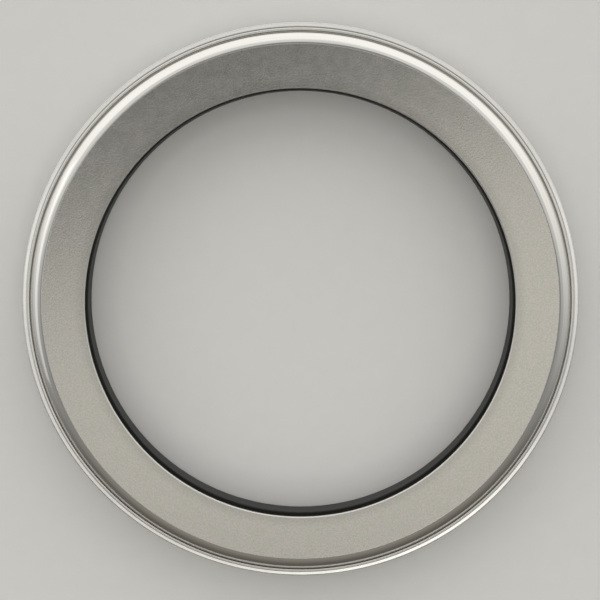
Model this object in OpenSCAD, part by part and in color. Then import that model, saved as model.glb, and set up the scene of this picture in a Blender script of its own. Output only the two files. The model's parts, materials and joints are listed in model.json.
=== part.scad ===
// Turning bezel unit of a 40 mm watch: a plain steel bezel with a satin face, held captive on the
// ring that presses on to the neck of the case. Millimetres, Z up, origin in the middle of the
// underside, which rests on the case.

/* [Face] */
// Outside diameter of the bezel, across the rounded rim
rim_d = 40; // [39.6:0.1:44]
// Thickness of the insert that carries the satin face
insert_t = 0.8; // [0.7:0.05:1.2]
// Width of the polished convex bevel round the satin face
bevel_w = 0.78; // [0.5:0.02:1.1]
// How far the bevel drops over that width
bevel_drop = 0.4; // [0.25:0.01:0.45]
// How far the middle of the bevel bulges out of a straight cone
bevel_bulge = 0.05; // [0.02:0.01:0.1]
// Polished edge round the hole in the face
bore_chamfer = 0.07; // [0.05:0.01:0.15]
// Rounding at the foot of the bevel
foot_round = 0.05; // [0.02:0.01:0.08]

/* [Rim] */
// Width of the round top of the bead that stands round the insert
bead_w = 0.25; // [0.18:0.01:0.3]
// How far the bead's outer flank spreads on its way down to the rim
bead_flank = 0.1; // [0.05:0.01:0.15]
// How far the top of the bead lies below the face
bead_drop = 0.46; // [0.4:0.01:0.55]
// Width of the rim outside the bead
rim_w = 0.34; // [0.3:0.01:0.42]
// Radius of the rounding at the outside of the rim
rim_round = 0.12; // [0.08:0.01:0.2]
// How far the rim slopes down to that rounding
rim_fall = 0.035; // [0.01:0.005:0.06]
// How far the inner end of the rim lies below the face
shoulder_drop = 1.03; // [0.8:0.01:1.2]
// Gap between the insert and the bead, which reads as a dark line
insert_gap = 0.11; // [0.04:0.01:0.14]
// Wall of the bezel below the rim, which the retainer screws enter
skirt_wall = 1.44; // [1.3:0.01:1.6]
// Floor of the bezel under the insert
web_t = 0.27; // [0.2:0.01:0.4]
// Edge break where the skirt meets the retainer ring
skirt_chamfer = 0.04; // [0.02:0.01:0.08]

/* [Case side] */
// Bore that presses on to the neck of the case
neck_bore_d = 30.5; // [28:0.1:30.8]
// Wall of the fixed neck round that bore
neck_wall = 0.85; // [0.75:0.01:1]
// Gap between the top of the neck and the floor of the bezel
neck_gap = 0.03; // [0.02:0.01:0.06]
// Width of the gasket's recess in the underside, outwards from the bore
recess_w = 0.75; // [0.7:0.01:0.9]
// Lead-in at the lower end of the bore
lead_in = 0.1; // [0.05:0.01:0.15]
// Radial width of the lip that the retainer hooks under
lip_w = 0.6; // [0.5:0.01:0.7]
// Thickness of that lip
lip_t = 0.4; // [0.3:0.01:0.6]
// Edge break of the fixed ring
seat_chamfer = 0.1; // [0.05:0.01:0.15]

/* [Gaskets] */
// Cord of the gasket in the underside
case_cord_d = 0.48; // [0.4:0.01:0.5]
// Cord of the dust seal between neck and ratchet
seal_cord_d = 0.36; // [0.3:0.01:0.4]
// Wall of the black wiper gasket in the hole of the face
wiper_wall = 0.42; // [0.3:0.01:0.6]
// Width of the flange that traps the wiper gasket under the insert
wiper_flange_w = 0.34; // [0.2:0.01:0.5]
// Thickness of that flange
wiper_flange_t = 0.2; // [0.15:0.01:0.3]
// Steel left above the wiper gasket, below the chamfer
wiper_cover = 0.08; // [0.05:0.01:0.12]
// Thickness of the adhesive ring under the insert
glue_t = 0.05; // [0.03:0.01:0.1]

/* [Click] */
// Number of clicks in one turn
clicks = 120; // [60:1:120]
// Diameter of a click ball
ball_d = 1; // [0.9:0.02:1.04]
// Wall between a ball's pocket and the outside of the fixed ring
pocket_wall = 0.28; // [0.2:0.01:0.35]
// Floor below a ball's pocket
pocket_floor = 0.2; // [0.15:0.01:0.25]
// Depth of a ratchet tooth
tooth_depth = 0.25; // [0.2:0.01:0.27]
// Angle between a tooth's flank and the axis of the bezel
tooth_flank = 50; // [45:1:55]
// Thickness of the ratchet ring
ratchet_t = 0.48; // [0.42:0.01:0.6]
// Diameter of the pins that key the ratchet ring to the bezel
key_d = 0.5; // [0.4:0.01:0.6]
// Wire of a click spring
spring_wire_d = 0.1; // [0.08:0.01:0.12]
// Outside diameter of a click spring
spring_d = 0.8; // [0.7:0.01:0.86]
// Turns of a click spring
spring_turns = 4; // [3:0.5:4]

/* [Retainer] */
// Height of the retainer ring above the surface that the unit rests on
ground_gap = 0.3; // [0.2:0.01:0.4]
// Thickness of the retainer ring
retainer_t = 0.8; // [0.7:0.01:1]
// Edge break at the foot of the retainer ring
retainer_chamfer = 0.1; // [0.05:0.01:0.15]
// How far the retainer ring stays inside the rim
retainer_inset = 0.05; // [0.02:0.01:0.1]
// Number of retainer screws
screws = 6; // [3:1:12]
// Thread of a retainer screw
screw_d = 0.6; // [0.5:0.01:0.7]
// Head of a retainer screw
screw_head_d = 0.9; // [0.8:0.01:1]
// Height of that head
screw_head_t = 0.3; // [0.25:0.01:0.4]
// Length of thread in the bezel
screw_grip = 0.8; // [0.5:0.01:0.9]
// Width of the driver slot
slot_w = 0.16; // [0.1:0.01:0.2]
// Depth of the driver slot
slot_depth = 0.12; // [0.08:0.01:0.15]

/* [Washers] */
// Thrust washer on top of the fixed ring
thrust_t = 0.1; // [0.06:0.01:0.15]
// Glide washer under the lip
glide_t = 0.08; // [0.06:0.01:0.12]
// Strip of the wave spring under the glide washer
wave_strip_t = 0.04; // [0.03:0.01:0.06]
// Height that the waves add to that strip
wave_rise = 0.08; // [0.05:0.01:0.12]
// Waves in one turn
waves = 6; // [3:1:9]

/* [Fits] */
// Radial clearance between what turns and what stays
run_clear = 0.08; // [0.05:0.01:0.1]
// Radial clearance of the face's hole round the neck of the case
face_clear = 0.07; // [0.05:0.01:0.1]
// Radial clearance of a ball in its pocket
ball_clear = 0.02; // [0.01:0.005:0.04]
// Clearance of a piece that is set into a recess
seat_clear = 0.02; // [0.01:0.005:0.03]
// Clearance round a screw in the retainer ring
screw_clear = 0.04; // [0.03:0.01:0.07]

/* [Hidden] */
$fn = 96;

// Heights, from the underside up
skirt_z = ground_gap + retainer_t;
glide_z = skirt_z + wave_strip_t + wave_rise;
lip_z = glide_z + glide_t;
seat_z = lip_z + lip_t;
ratchet_z = seat_z + thrust_t;
web_z = ratchet_z + ratchet_t;
floor_z = web_z + web_t;
insert_z = floor_z + glue_t;
face_z = insert_z + insert_t;
neck_z = web_z - neck_gap;
valley_z = face_z - shoulder_drop;
rim_z = valley_z - rim_fall - rim_round;
bead_z = face_z - bead_drop;

// Radii of the bezel, from the rim inwards
rim_r = rim_d / 2;
valley_r = rim_r - rim_w;
bead_in_r = valley_r - bead_flank - bead_w;
insert_r = bead_in_r - insert_gap;
foot_r = insert_r - foot_round;
satin_r = foot_r - bevel_w;
skirt_in_r = rim_r - skirt_wall;

// Corner between rim and bead, and the centres of their roundings
valley = [valley_r, valley_z];
rim_centre = [rim_r - rim_round, rim_z];
bead_centre = [bead_in_r + bead_w / 2, bead_z - bead_w / 2];

// Radii of the fixed ring
neck_bore_r = neck_bore_d / 2;
neck_r = neck_bore_r + neck_wall;
recess_r = neck_bore_r + recess_w;
recess_depth = case_cord_d + seat_clear;
lip_r = skirt_in_r - run_clear;
seat_r = lip_r - lip_w;

// Radii in the hole of the face
face_bore_r = neck_bore_r + face_clear;
wiper_in_r = face_bore_r + seat_clear;
wiper_out_r = wiper_in_r + wiper_wall;
wiper_cup_r = wiper_out_r + seat_clear;
web_bore_r = wiper_out_r + 2 * seat_clear;
flange_r = web_bore_r + wiper_flange_w;
wiper_top_z = face_z - bore_chamfer - wiper_cover;

// Clicks: the balls, and the keys of the ratchet, stand a third of a turn apart
third_angles = [0, 120, 240];
ball_r = ball_d / 2;
pocket_r = ball_r + ball_clear;
click_r = seat_r - pocket_wall - pocket_r;
flank_clear = 0.01;
ball_z = ratchet_z + tooth_depth - (ball_r + flank_clear) / sin(tooth_flank);
ratchet_bore_r = neck_r + seal_cord_d + 2 * seat_clear;
ratchet_r = skirt_in_r - seat_clear;
tooth_end_clear = 0.1;
tooth_out_r = click_r + ball_r + tooth_end_clear;
first_click = 90;
click_step = 360 / clicks;
wire_r = spring_wire_d / 2;
wire_sides = 6;
turn_steps = 10;
coil_r = spring_d / 2 - wire_r;
spring_foot_z = pocket_floor + wire_r + flank_clear;
spring_top_z = ball_z - sqrt(pow(ball_r + wire_r + flank_clear, 2) - pow(coil_r, 2));

// Retainer
retainer_in_r = seat_r + run_clear;
retainer_r = rim_r - retainer_inset;
screw_r = (skirt_in_r + retainer_r) / 2;
screw_recess = screw_head_t + screw_clear;
screw_tip_z = skirt_z + screw_grip;
first_screw = 90 / screws;

// Cuts run this far past the faces they open
over = 0.2;

// Points that follow one wave of the wave spring
wave_steps = 16;

// Solid of revolution between two radii and two heights
module band(r_in, r_out, z_low, z_high)
    rotate_extrude()
        translate([r_in, z_low])
            square([r_out - r_in, z_high - z_low]);

// Round cord laid in a ring
module cord_ring(ring_r, cord_r, z)
    rotate_extrude()
        translate([ring_r, z])
            circle(r = cord_r);

// Angle of a click ball: the tooth valley nearest to its third of the turn
function ball_angle(i) = round((first_click + third_angles[i - 1]) / click_step) * click_step;

// Point where a straight line from a corner touches a circle, on one side of it or the other
function touch(corner, centre, r, side) =
    let (
        away = corner - centre,
        angle = atan2(away[1], away[0]) + side * acos(r / norm(away))
    )
    centre + r * [cos(angle), sin(angle)];

// Copies on a circle, one at each angle
module at_angles(angles, ring_r)
    for (angle = angles)
        rotate(angle)
            translate([ring_r, 0, 0])
                children();

// Copies on the circle of the retainer screws, a whole number of them at even steps
module at_screws() {
    count = round(screws);
    at_angles([for (i = [0 : count - 1]) first_screw + i * 360 / count], screw_r)
        children();
}

// Skin over a row of rings of points, closed on itself or with flat ends
module skin(rings, closed) {
    n = len(rings);
    m = len(rings[0]);
    last = closed ? n : n - 1;
    sides = [
        for (i = [0 : last - 1], j = [0 : m - 1], half = [0, 1])
            let (
                a = i * m + j,
                b = i * m + (j + 1) % m,
                c = ((i + 1) % n) * m + (j + 1) % m,
                d = ((i + 1) % n) * m + j
            )
            half == 0 ? [a, b, c] : [a, c, d]
    ];
    ends = closed ? [] : [[for (j = [m - 1 : -1 : 0]) j], [for (j = [0 : m - 1]) (n - 1) * m + j]];
    polyhedron([for (ring = rings) each ring], concat(sides, ends));
}

// The fixed ring: a bore for the neck of the case, a flat foot and a lip that captures the bezel
module seat_ring()
    color("#4a4b4d")
        difference() {
            rotate_extrude()
                polygon([
                    [neck_bore_r, recess_depth + lead_in],
                    [neck_bore_r + lead_in, recess_depth],
                    [recess_r, recess_depth],
                    [recess_r, 0],
                    [seat_r - seat_chamfer, 0],
                    [seat_r, seat_chamfer],
                    [seat_r, lip_z],
                    [lip_r, lip_z],
                    [lip_r, seat_z],
                    [neck_r, seat_z],
                    [neck_r, neck_z],
                    [neck_bore_r, neck_z]
                ]);
            at_angles([for (i = [1 : len(third_angles)]) ball_angle(i)], click_r)
                translate([0, 0, pocket_floor])
                    cylinder(r = pocket_r, h = seat_z - pocket_floor + over);
        }

// Round gasket that seals the unit on the case
module case_gasket()
    color("#151515")
        cord_ring(recess_r - case_cord_d / 2 - seat_clear, case_cord_d / 2, case_cord_d / 2 + seat_clear / 2);

// Round seal that keeps dust out of the clicks
module dust_seal()
    color("#202020")
        cord_ring(neck_r + seat_clear + seal_cord_d / 2, seal_cord_d / 2, seat_z + seal_cord_d / 2);

// Slippery ring that the ratchet rides on
module thrust_washer()
    color("#e9e6dc")
        band(tooth_out_r, lip_r - seat_clear, seat_z, ratchet_z);

// Slippery ring between the lip and the wave spring
module glide_washer()
    color("#e9e6dc")
        band(seat_r + run_clear, lip_r - seat_clear, glide_z, lip_z);

// Wavy strip that takes up the play between retainer and lip
module wave_spring() {
    steps = wave_steps * waves;
    in_r = seat_r + run_clear;
    out_r = lip_r - seat_clear;
    rings = [
        for (i = [0 : steps - 1])
            let (
                a = i * 360 / steps,
                z = skirt_z + wave_rise * (1 - cos(waves * a)) / 2,
                side = [cos(a), sin(a)]
            )
            [
                [in_r * side[0], in_r * side[1], z],
                [out_r * side[0], out_r * side[1], z],
                [out_r * side[0], out_r * side[1], z + wave_strip_t],
                [in_r * side[0], in_r * side[1], z + wave_strip_t]
            ]
    ];
    color("#9b9da0")
        skin(rings, true);
}

// Coil under one click ball
module click_spring(i) {
    steps = round(spring_turns * turn_steps);
    rise = spring_top_z - spring_foot_z;
    lean = atan2(rise / spring_turns, 2 * PI * coil_r);
    rings = [
        for (s = [0 : steps])
            let (
                a = 360 * spring_turns * s / steps,
                out = [cos(a), sin(a), 0],
                up = [sin(a) * sin(lean), -cos(a) * sin(lean), cos(lean)],
                middle = coil_r * out + [0, 0, spring_foot_z + rise * s / steps]
            )
            [
                for (k = [0 : wire_sides - 1])
                    let (turn = 360 * k / wire_sides)
                    middle + wire_r * (cos(turn) * out + sin(turn) * up)
            ]
    ];
    color("#a8aaad")
        at_angles([ball_angle(i)], click_r)
            skin(rings, false);
}

// Ball that drops into the ratchet teeth
module click_ball(i)
    color("#c9cbce")
        at_angles([ball_angle(i)], click_r)
            translate([0, 0, ball_z])
                sphere(r = ball_r);

// Ring with radial teeth in its underside
module ratchet_ring() {
    mouth = (tooth_depth + over) * tan(tooth_flank);
    color("#b7a26a")
        difference() {
            band(ratchet_bore_r, ratchet_r, ratchet_z, web_z);
            for (i = [0 : clicks - 1])
                rotate(i * click_step)
                    translate([ratchet_bore_r - over, 0, ratchet_z])
                        rotate([90, 0, 90])
                            linear_extrude(height = tooth_out_r - ratchet_bore_r + over)
                                polygon([[-mouth, -over], [mouth, -over], [0, tooth_depth]]);
            at_angles(third_angles, skirt_in_r)
                translate([0, 0, ratchet_z - over])
                    cylinder(d = key_d + 2 * seat_clear, h = ratchet_t + 2 * over);
        }
}

// Pins on the seam between ratchet ring and bezel, which keep them from turning apart
module ratchet_keys()
    color("#8d8f92")
        at_angles(third_angles, skirt_in_r)
            translate([0, 0, ratchet_z])
                cylinder(d = key_d, h = ratchet_t - seat_clear);

// The polished ring that the fingers turn: skirt, rounded rim, bead and floor for the insert
module bezel_ring()
    color("#d2d3d2")
        difference() {
            rotate_extrude()
                union() {
                    polygon([
                        [skirt_in_r, skirt_z],
                        [rim_r - skirt_chamfer, skirt_z],
                        [rim_r, skirt_z + skirt_chamfer],
                        [rim_r, rim_z],
                        touch(valley, rim_centre, rim_round, -1),
                        valley,
                        touch(valley, bead_centre, bead_w / 2, 1),
                        bead_centre - [bead_w / 2, 0],
                        [bead_in_r, floor_z],
                        [web_bore_r, floor_z],
                        [web_bore_r, web_z],
                        [skirt_in_r, web_z]
                    ]);
                    translate(rim_centre)
                        circle(r = rim_round);
                    translate(bead_centre)
                        circle(r = bead_w / 2);
                }
            at_angles(third_angles, skirt_in_r)
                translate([0, 0, skirt_z - over])
                    cylinder(d = key_d + 2 * seat_clear, h = web_z - skirt_z + over);
            at_screws()
                translate([0, 0, skirt_z - over])
                    cylinder(d = screw_d, h = screw_grip + over);
        }

// Ring that hooks under the lip and holds the bezel on
module retainer_ring()
    color("#a9abad")
        difference() {
            rotate_extrude()
                polygon([
                    [retainer_in_r, ground_gap],
                    [retainer_r - retainer_chamfer, ground_gap],
                    [retainer_r, ground_gap + retainer_chamfer],
                    [retainer_r, skirt_z],
                    [retainer_in_r, skirt_z]
                ]);
            at_screws() {
                cylinder(d = screw_d + 2 * screw_clear, h = skirt_z + over);
                cylinder(d = screw_head_d + 2 * screw_clear, h = ground_gap + screw_recess);
            }
        }

// Slotted screws from below
module retainer_screws()
    color("#8f9194")
        at_screws()
            difference() {
                union() {
                    translate([0, 0, ground_gap + screw_recess])
                        cylinder(d = screw_d, h = screw_tip_z - ground_gap - screw_recess);
                    translate([0, 0, ground_gap + screw_recess - screw_head_t])
                        cylinder(d = screw_head_d, h = screw_head_t);
                }
                translate([-screw_head_d, -slot_w / 2, 0])
                    cube([2 * screw_head_d, slot_w, ground_gap + screw_recess - screw_head_t + slot_depth]);
            }

// Adhesive between the bezel's floor and the insert
module insert_adhesive()
    color("#3a3733")
        band(flange_r + glue_t, insert_r - insert_gap, floor_z, insert_z);

// Flat satin face with a polished convex bevel and a polished edge round the hole
module insert_ring() {
    chord = norm([bevel_w, bevel_drop]);
    sweep_r = (pow(chord / 2, 2) + pow(bevel_bulge, 2)) / (2 * bevel_bulge);
    inward = (sweep_r - bevel_bulge) / chord;
    mid = [foot_r - bevel_w / 2, face_z - bevel_drop / 2];
    centre = mid - inward * [bevel_drop, bevel_w];
    color("#aaa69b")
        rotate_extrude()
            union() {
                polygon([
                    [flange_r + seat_clear, insert_z],
                    [insert_r, insert_z],
                    [insert_r, face_z - bevel_drop - foot_round],
                    [foot_r, face_z - bevel_drop - foot_round],
                    [foot_r, face_z - bevel_drop],
                    [satin_r, face_z],
                    [face_bore_r + bore_chamfer, face_z],
                    [face_bore_r, face_z - bore_chamfer],
                    [face_bore_r, wiper_top_z],
                    [wiper_cup_r, wiper_top_z],
                    [wiper_cup_r, floor_z + wiper_flange_t + seat_clear],
                    [flange_r + seat_clear, floor_z + wiper_flange_t + seat_clear]
                ]);
                translate([foot_r, face_z - bevel_drop - foot_round])
                    circle(r = foot_round);
                intersection() {
                    translate(centre)
                        circle(r = sweep_r);
                    polygon([
                        [satin_r, face_z],
                        [foot_r, face_z - bevel_drop],
                        [foot_r, face_z]
                    ]);
                }
            }
}

// Black gasket in the hole of the face, which wipes the neck of the case
module wiper_gasket()
    color("#141414")
        rotate_extrude()
            polygon([
                [wiper_in_r, web_z + seat_clear],
                [wiper_out_r, web_z + seat_clear],
                [wiper_out_r, floor_z],
                [flange_r, floor_z],
                [flange_r, floor_z + wiper_flange_t],
                [wiper_out_r, floor_z + wiper_flange_t],
                [wiper_out_r, wiper_top_z - seat_clear],
                [wiper_in_r, wiper_top_z - seat_clear]
            ]);

seat_ring();
case_gasket();
dust_seal();
thrust_washer();
glide_washer();
wave_spring();
click_spring(1);  // click_spring_1
click_spring(2);  // click_spring_2
click_spring(3);  // click_spring_3
click_ball(1);  // click_ball_1
click_ball(2);  // click_ball_2
click_ball(3);  // click_ball_3
ratchet_ring();
ratchet_keys();
bezel_ring();
retainer_ring();
retainer_screws();
insert_adhesive();
insert_ring();
wiper_gasket();
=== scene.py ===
import json
import math

import bmesh
import bpy
from mathutils import Matrix, Vector


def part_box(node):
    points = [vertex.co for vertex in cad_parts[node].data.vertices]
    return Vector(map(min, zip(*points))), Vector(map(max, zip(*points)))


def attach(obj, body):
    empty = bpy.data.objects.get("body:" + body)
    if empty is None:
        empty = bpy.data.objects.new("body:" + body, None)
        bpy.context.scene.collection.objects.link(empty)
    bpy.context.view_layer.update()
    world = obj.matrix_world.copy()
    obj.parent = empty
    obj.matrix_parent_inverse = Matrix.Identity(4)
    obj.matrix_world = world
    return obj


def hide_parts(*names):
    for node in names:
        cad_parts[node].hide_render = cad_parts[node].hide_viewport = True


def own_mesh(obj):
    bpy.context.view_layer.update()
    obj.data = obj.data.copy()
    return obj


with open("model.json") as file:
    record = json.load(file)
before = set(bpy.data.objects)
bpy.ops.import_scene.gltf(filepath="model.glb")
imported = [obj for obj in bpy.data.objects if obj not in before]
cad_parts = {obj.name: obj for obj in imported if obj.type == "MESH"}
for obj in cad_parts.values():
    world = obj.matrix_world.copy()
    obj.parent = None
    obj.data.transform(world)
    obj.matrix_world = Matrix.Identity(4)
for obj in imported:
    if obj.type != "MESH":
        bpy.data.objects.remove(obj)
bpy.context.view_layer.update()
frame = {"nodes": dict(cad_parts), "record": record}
scene = bpy.context.scene

MM = 0.001
MICRON = 0.000001

# Sizes that no box shows, in millimetres, as the part's source sets them or works them out
BEVEL_W = 0.78
BEVEL_DROP = 0.4
BEVEL_BULGE = 0.05
FOOT_ROUND = 0.05
FACE_BORE_R = 15.32
BORE_CHAMFER = 0.07
WIPER_TOP_Z = 3.25
WIPER_CUP_R = 15.78
FLANGE_CUP_R = 16.16
FLANGE_CUP_Z = 2.77
RIM_W = 0.34
RIM_ROUND = 0.12
RIM_FALL = 0.035
SHOULDER_DROP = 1.03
BEAD_W = 0.25
BEAD_FLANK = 0.1
SKIRT_CHAMFER = 0.04
RATCHET_CLEAR = 0.02
WEB_BORE_R = 15.8
KEY_HOLE_R = 0.27
SCREW_HOLE_R = 0.3
SCREW_R = 19.255
SCREW_GRIP = 0.8
WIRE_R = 0.05
COIL_R = 0.35

# Counts and angles, as in the part's source
CLICK_NUMBERS = (1, 2, 3)
COIL_TURNS = 4
KEYS = 3
SCREWS = 6
FIRST_SCREW = 15

# Turns that lie flat at each end of a click spring
FLAT_TURNS = 0.5

# In millimetres: the rounding of an edge, how far from its ends a straight stretch gets its two points, and
# how long such a stretch is at least
EDGE = 0.012
HOLD = 0.004
HELD_LENGTH = 4 * HOLD

# How finely the shapes are made
RING_STEPS = 240
ARC_STEPS = 16
FOOT_STEPS = 6
WIRE_STEPS = 32
WIRE_SIDES = 16
HOLE_SIDES = 24

# In degrees: one step of a rounded edge, and the angle from which an edge stays sharp
ROUNDING_STEP = 22
SHARP_ANGLE = 30

# Turn of the first point of a ring and of a hole, in steps, so that the corners of both don't meet
RING_TURN = 0.5
HOLE_TURN = 0.37

# How far the cylinders that cut the holes reach past the underside, in millimetres
OVERCUT = 0.2

# Sizes that the frame gives, in millimetres
ring_low, ring_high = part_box("bezel_ring")
rim_r, skirt_z, bead_z = ring_high.x / MM, ring_low.z / MM, ring_high.z / MM
insert_low, insert_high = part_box("insert_ring")
insert_r, insert_z, face_z = insert_high.x / MM, insert_low.z / MM, insert_high.z / MM
floor_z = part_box("insert_adhesive")[0].z / MM
web_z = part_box("ratchet_ring")[1].z / MM
skirt_in_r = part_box("ratchet_ring")[1].x / MM + RATCHET_CLEAR


# Shapes

def arc(x, z, radius, start, end, steps):
    """Points of an arc of the profile, angles in degrees."""
    angles = [math.radians(start + (end - start) * i / steps) for i in range(steps + 1)]
    return [(x + radius * math.cos(a), z + radius * math.sin(a)) for a in angles]


def tangent(x, z, radius, corner, side):
    """Angle at which a straight line from a corner touches an arc, on one side of it or the other."""
    across, up = corner[0] - x, corner[1] - z
    return math.degrees(math.atan2(up, across) + side * math.acos(radius / math.hypot(across, up)))


def rounded(before, here, after, rounding):
    """Points of the small arc that takes the place of a corner."""
    back = (before - here).normalized()
    ahead = (after - here).normalized()
    half = back.angle(ahead) / 2
    reach = rounding / math.tan(half)
    middle = here + (back + ahead).normalized() * rounding / math.sin(half)
    first, last = here + back * reach - middle, here + ahead * reach - middle
    steps = max(2, round(math.degrees(first.angle(last)) / ROUNDING_STEP))
    return [middle + first.slerp(last, k / steps).normalized() * rounding for k in range(steps + 1)]


def outline(items):
    """A closed profile from corners (radius, height, rounding) and arcs (lists of points).

    Each straight stretch gets a point close to both ends, so that smooth shading stays flat on it."""
    ends = [(Vector(item[0]), Vector(item[-1])) if isinstance(item, list) else (Vector(item[:2]),) * 2
            for item in items]
    runs = []
    for i, item in enumerate(items):
        if isinstance(item, list):
            runs.append([Vector(p) for p in item])
        elif item[2]:
            before, after = ends[i - 1][1], ends[(i + 1) % len(items)][0]
            runs.append(rounded(before, ends[i][0], after, item[2]))
        else:
            runs.append([ends[i][0]])
    points = []
    for i, run in enumerate(runs):
        points += run
        start, end = run[-1], runs[(i + 1) % len(runs)][0]
        gap = end - start
        if gap.length > HELD_LENGTH:
            points += [start + gap.normalized() * HOLD, end - gap.normalized() * HOLD]
    return points


def solid(name, verts, faces):
    """An object with this mesh, its faces turned outwards."""
    mesh = bpy.data.meshes.new(name)
    mesh.from_pydata(verts, [], faces)
    turned_out = bmesh.new()
    turned_out.from_mesh(mesh)
    bmesh.ops.recalc_face_normals(turned_out, faces=turned_out.faces)
    turned_out.to_mesh(mesh)
    turned_out.free()
    made = bpy.data.objects.new(name, mesh)
    scene.collection.objects.link(made)
    return made


def lathe(name, profile):
    """A ring turned from a closed profile in millimetres."""
    count = len(profile)
    verts = []
    for s in range(RING_STEPS):
        a = 2 * math.pi * (s + RING_TURN) / RING_STEPS
        verts += [(p.x * MM * math.cos(a), p.x * MM * math.sin(a), p.y * MM) for p in profile]
    faces = [
        (s * count + i, s * count + (i + 1) % count,
         (s + 1) % RING_STEPS * count + (i + 1) % count, (s + 1) % RING_STEPS * count + i)
        for s in range(RING_STEPS) for i in range(count)
    ]
    return solid(name, verts, faces)


def coil(name, centre, foot_z, top_z):
    """A coil spring of round wire, from the middle of its first turn's wire to that of its last.

    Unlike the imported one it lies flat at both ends, as a real one does to bear evenly."""
    count = COIL_TURNS * WIRE_STEPS
    verts = []
    for s in range(count + 1):
        a = 2 * math.pi * s / WIRE_STEPS
        share = min(max((s / WIRE_STEPS - FLAT_TURNS) / (COIL_TURNS - 2 * FLAT_TURNS), 0), 1)
        for k in range(WIRE_SIDES):
            b = 2 * math.pi * k / WIRE_SIDES
            away = COIL_R + WIRE_R * math.cos(b)
            up = foot_z + (top_z - foot_z) * share + WIRE_R * math.sin(b)
            verts.append((centre.x + away * MM * math.cos(a), centre.y + away * MM * math.sin(a), up * MM))
    faces = [
        (s * WIRE_SIDES + k, s * WIRE_SIDES + (k + 1) % WIRE_SIDES,
         (s + 1) * WIRE_SIDES + (k + 1) % WIRE_SIDES, (s + 1) * WIRE_SIDES + k)
        for s in range(count) for k in range(WIRE_SIDES)
    ]
    faces += [tuple(range(WIRE_SIDES)), tuple(count * WIRE_SIDES + k for k in range(WIRE_SIDES))]
    return solid(name, verts, faces)


def drill_mesh(holes):
    """Closed cylinders, one for each hole."""
    verts, faces = [], []
    for angle, ring_radius, radius, low, high in holes:
        a = math.radians(angle)
        first = len(verts)
        for z in (low, high):
            for s in range(HOLE_SIDES):
                b = 2 * math.pi * (s + HOLE_TURN) / HOLE_SIDES
                verts.append((
                    (ring_radius * math.cos(a) + radius * math.cos(b)) * MM,
                    (ring_radius * math.sin(a) + radius * math.sin(b)) * MM, z * MM))
        top = first + HOLE_SIDES
        faces += [(first + s, first + (s + 1) % HOLE_SIDES, top + (s + 1) % HOLE_SIDES, top + s)
                  for s in range(HOLE_SIDES)]
        faces += [tuple(first + s for s in reversed(range(HOLE_SIDES))),
                  tuple(top + s for s in range(HOLE_SIDES))]
    mesh = bpy.data.meshes.new("drill")
    mesh.from_pydata(verts, [], faces)
    return mesh


def bore(ring, holes):
    """Takes round holes out of a ring; a hole is (angle, ring radius, radius, low, high)."""
    mesh = drill_mesh(holes)
    drill = bpy.data.objects.new("drill", mesh)
    scene.collection.objects.link(drill)
    cut = ring.modifiers.new("holes", "BOOLEAN")
    cut.operation, cut.solver, cut.object = "DIFFERENCE", "EXACT", drill
    whole = ring.data
    ring.data = bpy.data.meshes.new_from_object(ring.evaluated_get(bpy.context.evaluated_depsgraph_get()))
    ring.modifiers.clear()
    bpy.data.meshes.remove(whole)
    bpy.data.meshes.remove(mesh)


def even_angles(count, first=0):
    """Angles in degrees, evenly round a ring."""
    return [first + 360 // count * i for i in range(count)]


def finish(piece, body, node):
    """Shades a piece smooth between its sharp edges, and lets it stand for a CAD node."""
    piece.data.name = piece.name
    piece.data.shade_smooth()
    piece.data.set_sharp_from_angle(angle=math.radians(SHARP_ANGLE))
    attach(piece, body)
    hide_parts(node)


# The insert: a flat face, a convex bevel on a true arc, and a small chamfer at the hole
foot_r = insert_r - FOOT_ROUND
foot_z = face_z - BEVEL_DROP
satin_r = foot_r - BEVEL_W
chord = math.hypot(BEVEL_W, BEVEL_DROP)
sweep_r = ((chord / 2) ** 2 + BEVEL_BULGE ** 2) / (2 * BEVEL_BULGE)
inward = (sweep_r - BEVEL_BULGE) / chord
sweep_x = foot_r - BEVEL_W / 2 - inward * BEVEL_DROP
sweep_z = face_z - BEVEL_DROP / 2 - inward * BEVEL_W
low_angle = math.degrees(math.atan2(foot_z - sweep_z, foot_r - sweep_x))
high_angle = math.degrees(math.atan2(face_z - sweep_z, satin_r - sweep_x))
insert = lathe("insert_turned", outline([
    (FLANGE_CUP_R, insert_z, EDGE),
    (insert_r, insert_z, EDGE),
    arc(foot_r, foot_z - FOOT_ROUND, FOOT_ROUND, 0, 90, FOOT_STEPS),
    arc(sweep_x, sweep_z, sweep_r, low_angle, high_angle, ARC_STEPS),
    (FACE_BORE_R + BORE_CHAMFER, face_z, EDGE),
    (FACE_BORE_R, face_z - BORE_CHAMFER, EDGE),
    (FACE_BORE_R, WIPER_TOP_Z, 0),
    (WIPER_CUP_R, WIPER_TOP_Z, 0),
    (WIPER_CUP_R, FLANGE_CUP_Z, EDGE),
    (FLANGE_CUP_R, FLANGE_CUP_Z, 0),
]))
finish(insert, "bezel", "insert_ring")

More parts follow.
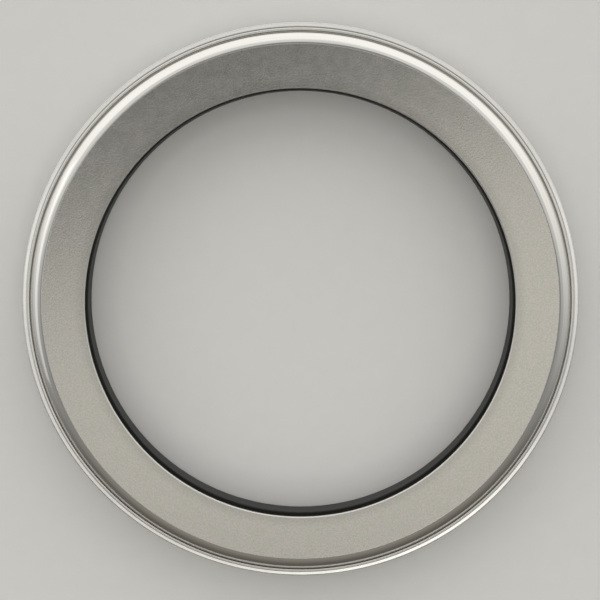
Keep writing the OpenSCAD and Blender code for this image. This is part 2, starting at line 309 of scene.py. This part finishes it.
# The ring round it, with its sloped and rounded rim, its bead and the holes for keys and screws
valley_r, valley_z = rim_r - RIM_W, face_z - SHOULDER_DROP
rim_z = valley_z - RIM_FALL - RIM_ROUND
bead_r = BEAD_W / 2
bead_in_r = valley_r - BEAD_FLANK - BEAD_W
valley = (valley_r, valley_z)
rim_arc = (rim_r - RIM_ROUND, rim_z, RIM_ROUND)
bead_arc = (bead_in_r + bead_r, bead_z - bead_r, bead_r)
outer = lathe("bezel_turned", outline([
    (skirt_in_r, skirt_z, EDGE),
    (rim_r - SKIRT_CHAMFER, skirt_z, EDGE),
    (rim_r, skirt_z + SKIRT_CHAMFER, EDGE),
    arc(*rim_arc, 0, tangent(*rim_arc, valley, -1), ARC_STEPS),
    (valley_r, valley_z, 0),
    arc(*bead_arc, tangent(*bead_arc, valley, 1), 180, ARC_STEPS),
    (bead_in_r, floor_z, 0),
    (WEB_BORE_R, floor_z, EDGE),
    (WEB_BORE_R, web_z, EDGE),
    (skirt_in_r, web_z, 0),
]))
drill_z = skirt_z - OVERCUT
grip_z = skirt_z + SCREW_GRIP
key_holes = [(a, skirt_in_r, KEY_HOLE_R, drill_z, web_z) for a in even_angles(KEYS)]
screw_holes = [(a, SCREW_R, SCREW_HOLE_R, drill_z, grip_z) for a in even_angles(SCREWS, FIRST_SCREW)]
bore(outer, key_holes + screw_holes)
finish(outer, "bezel", "bezel_ring")

# The click springs. The wire at the top of each goes down by the travel of its ball
springs = []
for number in CLICK_NUMBERS:
    ball_low, ball_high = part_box(f"click_ball_{number}")
    low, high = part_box(f"click_spring_{number}")
    wire_low_z, wire_high_z = low.z / MM + WIRE_R, high.z / MM - WIRE_R
    spring = coil(f"spring_coil_{number}", (ball_low + ball_high) / 2, wire_low_z, wire_high_z)
    finish(spring, "seat", f"click_spring_{number}")
    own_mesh(spring)
    springs.append(spring)


# Materials

def material(name):
    """A new material, its node tree and its shader."""
    made = bpy.data.materials.new(name)
    made.use_nodes = True
    return made, made.node_tree, made.node_tree.nodes["Principled BSDF"]


def add(tree, kind, values=None, **settings):
    """A node with its settings and its inputs; an input that is a socket is linked."""
    made = tree.nodes.new(kind)
    for key, value in settings.items():
        setattr(made, key, value)
    for key, value in (values or {}).items():
        if isinstance(value, bpy.types.NodeSocket):
            tree.links.new(value, made.inputs[key])
        else:
            made.inputs[key].default_value = value
    return made


def maths(tree, operation, *values):
    return add(tree, "ShaderNodeMath", dict(enumerate(values)), operation=operation).outputs[0]


def length(tree, x, y):
    """Length of a flat vector."""
    squares = maths(tree, "ADD", maths(tree, "MULTIPLY", x, x), maths(tree, "MULTIPLY", y, y))
    return maths(tree, "SQRT", squares)


def ramp(tree, value, low, high, to_low=0.0, to_high=1.0):
    """A smooth step from one value to another, as the input goes from low to high."""
    return add(tree, "ShaderNodeMapRange", {
        "Value": value, "From Min": low, "From Max": high, "To Min": to_low, "To Max": to_high,
    }, interpolation_type="SMOOTHSTEP").outputs[0]


def zone(tree, value, low, high, to_low=0.0, to_high=1.0):
    """The same step over a stretch of radius or height in millimetres."""
    return ramp(tree, value, low * MM, high * MM, to_low, to_high)


def blend(tree, share, colours):
    """A colour between two others."""
    low, high = colours
    return add(tree, "ShaderNodeMix", {0: share, 6: (*low, 1), 7: (*high, 1)}, data_type="RGBA").outputs[2]


def scaled(tree, colour, factor):
    return add(tree, "ShaderNodeVectorMath", {0: colour, "Scale": factor}, operation="SCALE").outputs[0]


def summed(tree, one, other):
    return add(tree, "ShaderNodeVectorMath", {0: one, 1: other}, operation="ADD").outputs[0]


def place(tree):
    """Object coordinates, which stay with a piece at every pose: the vector, radius, height and turn."""
    here = add(tree, "ShaderNodeTexCoord").outputs["Object"]
    x, y, z = add(tree, "ShaderNodeSeparateXYZ", {0: here}).outputs
    radius = length(tree, x, y)
    return here, radius, z, (maths(tree, "DIVIDE", x, radius), maths(tree, "DIVIDE", y, radius))


def grain(tree, here, size, detail, roughness):
    """Noise with blotches of about this size in millimetres."""
    return add(tree, "ShaderNodeTexNoise", {
        "Vector": here, "Scale": 1 / (size * MM), "Detail": detail, "Roughness": roughness,
    }).outputs["Fac"]


def cloud(tree, here, size):
    """Faint blotches of wear."""
    return grain(tree, here, size, detail=4, roughness=0.6)


# Radius at which a mark of turning is as long as its run says, in millimetres
MEAN_RADIUS = 15


def lines(tree, radius, z, turn, width, run):
    """Marks of turning: fine across the profile and long round the ring, sizes in millimetres."""
    stretch = MEAN_RADIUS * MM * width / run
    across = add(tree, "ShaderNodeCombineXYZ", {
        0: radius, 1: z, 2: maths(tree, "MULTIPLY", turn[0], stretch)}).outputs[0]
    return add(tree, "ShaderNodeTexNoise", {
        "Vector": across, "W": maths(tree, "MULTIPLY", turn[1], stretch),
        "Scale": 1 / (width * MM), "Detail": 3, "Roughness": 0.55,
    }, noise_dimensions="4D").outputs["Fac"]


def relief(tree, shader, height, depth):
    """Bump of this depth in micrometres."""
    bump = add(tree, "ShaderNodeBump", {"Strength": 1.0, "Distance": depth * MICRON, "Height": height})
    tree.links.new(bump.outputs[0], shader.inputs["Normal"])


def turned_metal(name, colours, roughness, spread, width, run, depth):
    """Metal with turning marks and a faint cloud of wear; spread is how much both change its roughness."""
    made, tree, shader = material(name)
    here, radius, z, turn = place(tree)
    marks = lines(tree, radius, z, turn, width, run)
    worn = cloud(tree, here, size=0.9)
    shader.inputs["Metallic"].default_value = 1.0
    tree.links.new(blend(tree, worn, colours), shader.inputs["Base Color"])
    wear = maths(tree, "MULTIPLY", maths(tree, "ADD", marks, worn), spread)
    tree.links.new(maths(tree, "ADD", wear, roughness - spread), shader.inputs["Roughness"])
    relief(tree, shader, marks, depth)
    return made


# How much grain and wear change the roughness of the soft and matt pieces
SOFT_SPREAD = 0.08


def soft(name, colours, roughness, size, depth, specular=0.3):
    """Rubber, plastic or a matt coating: fine grain under a faint cloud."""
    made, tree, shader = material(name)
    here = place(tree)[0]
    fine = grain(tree, here, size, detail=3, roughness=0.6)
    worn = cloud(tree, here, size=0.8)
    tree.links.new(blend(tree, worn, colours), shader.inputs["Base Color"])
    wear = maths(tree, "MULTIPLY", maths(tree, "ADD", fine, worn), SOFT_SPREAD)
    tree.links.new(maths(tree, "ADD", wear, roughness - SOFT_SPREAD), shader.inputs["Roughness"])
    shader.inputs["Specular IOR Level"].default_value = specular
    relief(tree, shader, fine, depth)
    return made


SATIN_COLOURS = (0.486, 0.485, 0.456), (0.516, 0.503, 0.481)
# The darker bevel colour is painted shade in the gap below the bevel's foot, and dirt in the turning marks
BEVEL_COLOURS = (0.49, 0.48, 0.455), (0.68, 0.67, 0.645)
# The darker rim colour is painted shade on the bead's inner side and in the rim's crease, and dirt in the
# turning marks
RIM_COLOURS = (0.48, 0.47, 0.445), (0.68, 0.675, 0.655)

# Least roughness of satin, bevel and ring, and how much noise and handling add to each
SATIN_ROUGH = 0.155
SATIN_MOTTLE = 0.08
BEVEL_ROUGH = 0.02
BEVEL_MARKS = 0.12
HOLE_HANDLED = 0.38
RING_ROUGH = 0.03
RING_WEAR = 0.07
RIM_HANDLED = 0.05

# Steps of noise that change a colour, and the shade of the face at the hole
SPECKLE = {"low": 0.25, "high": 0.75, "to_low": 0.92, "to_high": 1.08}
MOTTLE = {"low": 0.35, "high": 0.65}
RUBBED = {"low": 0.3, "high": 0.55, "to_low": 0.82}
HOLE_SHADE = 0.87

# Depth below the face from which up the satin is whole, in millimetres, like all depths and widths here
SATIN_DEPTH = 0.002

# Depths below the foot of the bevel between which the painted shade of the gap sets in
LIT_DEPTH = 0.05
SHADED_DEPTH = 0.11

# How far from the wall of the hole its edge is duller and the face darker
HOLE_DULL_W = 0.2
HOLE_DARK_W = 0.9

# How far the painted shade reaches from the inner side of the bead, and from the crease between bead and
# rim
GROOVE_SHADED = 0.005
GROOVE_LIT = 0.02
CREASE_SHADED = 0.02
CREASE_LIT = 0.06

# Heights above the middle of the rim's arc between which handled polish gives way to the bead's
HANDLED_TOP = 0.3
BEAD_POLISH = 0.5


def rubbed(tree, marks):
    """Dirt that the marks of turning hold, as a factor that darkens the steel."""
    return ramp(tree, marks, **RUBBED)


def insert_steel():
    """Fine satin on the flat face, polish on the bevel, and a duller edge at the hole."""
    made, tree, shader = material("satin_steel")
    here, radius, z, turn = place(tree)
    edge_r = FACE_BORE_R + BORE_CHAMFER
    flat = zone(tree, z, face_z - EDGE, face_z - SATIN_DEPTH)
    # Painted shade: the insert turns darker below the bevel's foot, in the gap beside the ring
    gap = zone(tree, z, foot_z - SHADED_DEPTH, foot_z - LIT_DEPTH)
    fine = grain(tree, here, size=0.13, detail=3, roughness=0.7)
    mottle = cloud(tree, here, size=0.75)
    marks = lines(tree, radius, z, turn, width=0.11, run=12)
    edge = zone(tree, radius, edge_r, FACE_BORE_R + HOLE_DULL_W, to_low=HOLE_HANDLED, to_high=0.0)
    polish = maths(tree, "ADD", maths(tree, "MULTIPLY_ADD", marks, BEVEL_MARKS, BEVEL_ROUGH), edge)
    satin = maths(tree, "ADD", maths(tree, "MULTIPLY", mottle, SATIN_MOTTLE), SATIN_ROUGH)
    rough = add(tree, "ShaderNodeMix", {0: flat, 2: polish, 3: satin}).outputs[0]
    tree.links.new(rough, shader.inputs["Roughness"])
    shader.inputs["Metallic"].default_value = 1.0
    shade = zone(tree, radius, edge_r, FACE_BORE_R + HOLE_DARK_W, to_low=HOLE_SHADE)
    mottled = blend(tree, ramp(tree, mottle, **MOTTLE), SATIN_COLOURS)
    face = scaled(tree, mottled, maths(tree, "MULTIPLY", ramp(tree, fine, **SPECKLE), shade))
    # The bevel's colour, darker in the gap as painted shade and in the turning marks as dirt
    bright = blend(tree, maths(tree, "MULTIPLY", gap, rubbed(tree, marks)), BEVEL_COLOURS)
    colour = add(tree, "ShaderNodeMix", {0: flat, 6: bright, 7: face}, data_type="RGBA").outputs[2]
    tree.links.new(colour, shader.inputs["Base Color"])
    bumps = add(tree, "ShaderNodeMix", {0: flat, 2: marks, 3: fine}).outputs[0]
    relief(tree, shader, bumps, depth=4.0)
    return made


def ring_steel():
    """Polish with fine lines round it, dirt in its turning marks, and painted shade in the gap beside the
    insert and in the crease of the rim.
    """
    made, tree, shader = material("polished_steel")
    here, radius, z, turn = place(tree)
    marks = lines(tree, radius, z, turn, width=0.09, run=40)
    worn = cloud(tree, here, size=1.1)
    # Painted shade: darker on the inner side of the bead beside the insert, and in the crease between bead
    # and rim
    gap = zone(tree, radius, bead_in_r - GROOVE_SHADED, bead_in_r + GROOVE_LIT)
    off_crease = maths(tree, "ABSOLUTE", maths(tree, "SUBTRACT", radius, valley_r * MM))
    crease = zone(tree, off_crease, CREASE_SHADED, CREASE_LIT)
    # Share of lit, clean steel: the rest is painted shade in groove and crease, and dirt in the marks
    shade_and_marks = maths(tree, "MULTIPLY", gap, rubbed(tree, marks))
    lit_and_clean = maths(tree, "MULTIPLY", crease, shade_and_marks)
    tree.links.new(blend(tree, lit_and_clean, RIM_COLOURS), shader.inputs["Base Color"])
    wear = maths(tree, "MULTIPLY", maths(tree, "ADD", marks, worn), RING_WEAR)
    handled = zone(tree, z, rim_z + HANDLED_TOP, rim_z + BEAD_POLISH, to_low=RIM_HANDLED, to_high=0.0)
    rough = maths(tree, "ADD", maths(tree, "ADD", wear, RING_ROUGH), handled)
    tree.links.new(rough, shader.inputs["Roughness"])
    shader.inputs["Metallic"].default_value = 1.0
    relief(tree, shader, marks, depth=1.5)
    return made


LOOKS = {
    "satin_steel": insert_steel(),
    "polished_steel": ring_steel(),
    # dark_steel is painted shade: a near-black coat with little gloss, standing in for steel that shows
    # only shaded surroundings in the bore
    "dark_steel": soft(
        "dark_steel", ((0.040, 0.040, 0.039), (0.058, 0.058, 0.056)),
        roughness=0.5, size=0.06, depth=1.5, specular=0.1),
    "retainer_steel": turned_metal(
        "retainer_steel", ((0.54, 0.54, 0.53), (0.60, 0.60, 0.59)),
        roughness=0.28, spread=0.10, width=0.05, run=8, depth=1.2),
    "screw_steel": turned_metal(
        "screw_steel", ((0.50, 0.50, 0.51), (0.56, 0.56, 0.57)),
        roughness=0.2, spread=0.08, width=0.04, run=8, depth=0.6),
    "spring_steel": turned_metal(
        "spring_steel", ((0.52, 0.52, 0.53), (0.58, 0.58, 0.59)),
        roughness=0.26, spread=0.08, width=0.03, run=3, depth=0.6),
    "ball_steel": turned_metal(
        "ball_steel", ((0.74, 0.74, 0.76), (0.78, 0.78, 0.79)),
        roughness=0.09, spread=0.04, width=0.1, run=1, depth=0.2),
    "ratchet_brass": turned_metal(
        "ratchet_brass", ((0.64, 0.49, 0.23), (0.72, 0.58, 0.31)),
        roughness=0.3, spread=0.10, width=0.05, run=8, depth=1.2),
    "white_polymer": soft(
        "white_polymer", ((0.77, 0.76, 0.71), (0.83, 0.82, 0.78)),
        roughness=0.48, size=0.06, depth=1.5),
    # black_nylon is the black gasket's own colour, and partly painted shade: with almost no gloss it keeps
    # the bore dark
    "black_nylon": soft(
        "black_nylon", ((0.005, 0.005, 0.004), (0.009, 0.009, 0.007)),
        roughness=0.6, size=0.06, depth=2.0, specular=0.03),
    "black_rubber": soft(
        "black_rubber", ((0.009, 0.009, 0.009), (0.016, 0.016, 0.015)),
        roughness=0.65, size=0.05, depth=3.0),
    "adhesive": soft(
        "adhesive", ((0.10, 0.09, 0.08), (0.14, 0.13, 0.12)),
        roughness=0.4, size=0.1, depth=2.0),
}

for part in frame["record"]["subparts"]:
    for slot in frame["nodes"][part["node"]].material_slots:
        slot.material = LOOKS[part["material_slot"]]
dressed = [(insert, "satin_steel"), (outer, "polished_steel")]
dressed += [(spring, "spring_steel") for spring in springs]
for piece, look in dressed:
    piece.data.materials.clear()
    piece.data.materials.append(LOOKS[look])


# Studio

def stand(thing, where, axes):
    """Puts a lamp or a camera in place, its own axes along these directions."""
    thing.matrix_world = Matrix.Translation(where) @ Matrix(axes).transposed().to_4x4()
    scene.collection.objects.link(thing)


def softbox(name, azimuth, elevation, wide, tall, radiance, distance):
    """A soft panel that faces the object.

    Azimuth is from +X towards +Y, wide and tall are the angles that it fills, distance is in metres."""
    a, e = math.radians(azimuth), math.radians(elevation)
    out = Vector((math.cos(e) * math.cos(a), math.cos(e) * math.sin(a), math.sin(e)))
    panel = bpy.data.lights.new(name, "AREA")
    panel.shape = "RECTANGLE"
    panel.size = 2 * distance * math.tan(math.radians(wide) / 2)
    panel.size_y = 2 * distance * math.tan(math.radians(tall) / 2)
    panel.energy = radiance * math.pi * panel.size * panel.size_y
    across = Vector((-math.sin(a), math.cos(a), 0))
    stand(bpy.data.objects.new(name, panel), out * distance, (across, out.cross(across), out))


softbox("strip_left", azimuth=178, elevation=24, wide=46, tall=12, radiance=0.34, distance=0.45)

# The rest of the light is a round white tent, the world seen in each direction. Its steps go over z, the
# sine of elevation, over x or y of the direction, or over towards, which is 1 at the back (+Y), 0 at both
# sides and -1 at the front. They give radiance, or a factor on it

# Bright walls at the back, in two steps that rise towards the middle
WALL_COLOUR = (1.0, 0.985, 0.95)
WALL_SPAN = {"low": -0.7, "high": 0.7}
WALL_FOOT = {"low": 0.0, "high": 0.14, "to_low": 0.4}
UPPER_STEP = {"low": 0.625, "high": 0.67, "to_low": 0.64, "to_high": 0.0}
LOWER_STEP = {"low": 0.46, "high": 0.50, "to_low": 0.43, "to_high": 0.0}
STEP_RISE = 0.11


def back_walls(tree, z, towards):
    back = ramp(tree, towards, **WALL_SPAN)
    height = maths(tree, "MULTIPLY_ADD", back, -STEP_RISE, z)
    steps = maths(tree, "ADD", ramp(tree, height, **UPPER_STEP), ramp(tree, height, **LOWER_STEP))
    return maths(tree, "MULTIPLY", maths(tree, "MULTIPLY", back, steps), ramp(tree, z, **WALL_FOOT))


# The front half of the ceiling, cut off on a slant, brighter to both sides and most to the right
CEILING_COLOUR = (1.0, 0.965, 0.87)
CEILING_RIM = {"low": 0.905, "high": 0.965}
CEILING_EDGE = {"low": -0.02, "high": 0.03}
CEILING_SLANT = 0.3
CEILING_GLOW = 0.66
GLOW_SIDES = 0.5
GLOW_RIGHT = 0.1


def lit_ceiling(tree, x, y, z):
    slant = maths(tree, "MULTIPLY_ADD", x, CEILING_SLANT, maths(tree, "MULTIPLY", y, -1.0))
    rightward = maths(tree, "MULTIPLY_ADD", x, GLOW_RIGHT, CEILING_GLOW)
    glow = maths(tree, "MULTIPLY_ADD", maths(tree, "ABSOLUTE", x), GLOW_SIDES, rightward)
    front_half = maths(tree, "MULTIPLY", ramp(tree, slant, **CEILING_EDGE), glow)
    return maths(tree, "MULTIPLY", front_half, ramp(tree, z, **CEILING_RIM))


# A narrow pale band round the ceiling, lower at the front, brighter at the front right and at the sides
BAND_FOOT = {"low": 0.83, "high": 0.85}
BAND_TOP = {"low": 0.895, "high": 0.915, "to_low": 1.0, "to_high": 0.0}
BAND_FRONT = {"low": -1.0, "high": -0.5, "to_low": 1.0, "to_high": 0.0}
BAND_RIGHT = {"low": -0.35, "high": 0.35, "to_high": 0.92}
BAND_SIDES = {"low": 0.1, "high": 0.4, "to_low": 1.02, "to_high": 0.8}
BAND_RISE = 0.048


def ceiling_band(tree, x, z, towards):
    height = maths(tree, "MULTIPLY_ADD", towards, -BAND_RISE, z)
    band = maths(tree, "MULTIPLY", ramp(tree, height, **BAND_FOOT), ramp(tree, height, **BAND_TOP))
    front = maths(tree, "MULTIPLY", ramp(tree, towards, **BAND_FRONT), ramp(tree, x, **BAND_RIGHT))
    sides = ramp(tree, maths(tree, "ABSOLUTE", towards), **BAND_SIDES)
    return maths(tree, "MULTIPLY", band, maths(tree, "ADD", front, sides))


# A dim front, brighter higher up, and a plain room that is dimmer straight above
FRONT_COLOUR = (0.168, 0.157, 0.137)
FRONT_RISE = {"low": 0.1, "high": 0.75, "to_low": 0.8, "to_high": 2.0}
FRONT_END = {"low": -0.9, "high": -0.1}
ROOM_COLOUR = (0.29, 0.29, 0.285)
ZENITH = {"low": 0.90, "high": 0.98, "to_low": 1.0, "to_high": 0.8}


def plain_room(tree, y, z):
    front = scaled(tree, FRONT_COLOUR, ramp(tree, z, **FRONT_RISE))
    rest = scaled(tree, ROOM_COLOUR, ramp(tree, z, **ZENITH))
    share = ramp(tree, y, **FRONT_END)
    return add(tree, "ShaderNodeMix", {0: share, 4: front, 5: rest}, data_type="VECTOR").outputs[1]


# Keeps the division sound straight above, where a direction has no side
LEAST_LEVEL = 0.01


def tent():
    """The world, with all of these added up."""
    world = bpy.data.worlds.new("studio")
    world.use_nodes = True
    tree = world.node_tree
    direction = add(tree, "ShaderNodeTexCoord").outputs["Generated"]
    x, y, z = add(tree, "ShaderNodeSeparateXYZ", {0: direction}).outputs
    towards = maths(tree, "DIVIDE", y, maths(tree, "MAXIMUM", length(tree, x, y), LEAST_LEVEL))
    bright = maths(tree, "ADD", back_walls(tree, z, towards), ceiling_band(tree, x, z, towards))
    walled = summed(tree, plain_room(tree, y, z), scaled(tree, WALL_COLOUR, bright))
    whole = summed(tree, walled, scaled(tree, CEILING_COLOUR, lit_ceiling(tree, x, y, z)))
    tree.links.new(whole, tree.nodes["Background"].inputs["Color"])
    return world


scene.world = tent()

# Floor, a hair below the part's underside, in metres
FLOOR_REACH = 3.0
FLOOR_DROP = 0.00002
PAPER_COLOURS = (0.83, 0.825, 0.81), (0.87, 0.865, 0.85)


def floor_paper():
    made, tree, shader = material("floor_paper")
    fibre = grain(tree, place(tree)[0], size=1.5, detail=5, roughness=0.6)
    tree.links.new(blend(tree, fibre, PAPER_COLOURS), shader.inputs["Base Color"])
    shader.inputs["Roughness"].default_value = 0.8
    shader.inputs["Specular IOR Level"].default_value = 0.1
    return made


floor_mesh = bpy.data.meshes.new("floor")
floor_mesh.from_pydata([
    (-FLOOR_REACH, -FLOOR_REACH, 0),
    (FLOOR_REACH, -FLOOR_REACH, 0),
    (FLOOR_REACH, FLOOR_REACH, 0),
    (-FLOOR_REACH, FLOOR_REACH, 0),
], [], [(0, 1, 2, 3)])
floor = bpy.data.objects.new("floor", floor_mesh)
floor.location.z = -FLOOR_DROP
scene.collection.objects.link(floor)
floor_mesh.materials.append(floor_paper())

# Camera: nearly straight above, a little towards +Y, as the photograph shows the object. Its place, film
# and focal length are in millimetres, and the nearest thing that it shows is in metres
EYE = Vector((0.64, 10.75, 102.1)) * MM
AHEAD = Vector((-0.00648, -0.1040, -0.99456)).normalized()
FILM_W = 36
FOCAL_LENGTH = 83.9
NEAREST = 0.005
right = AHEAD.cross(Vector((0, 1, 0))).normalized()
lens = bpy.data.cameras.new("camera")
lens.sensor_width = FILM_W
lens.lens = FOCAL_LENGTH
lens.clip_start = NEAREST
camera = bpy.data.objects.new("camera", lens)
stand(camera, EYE, (right, right.cross(AHEAD), -AHEAD))
scene.camera = camera

scene.view_settings.view_transform = "Standard"
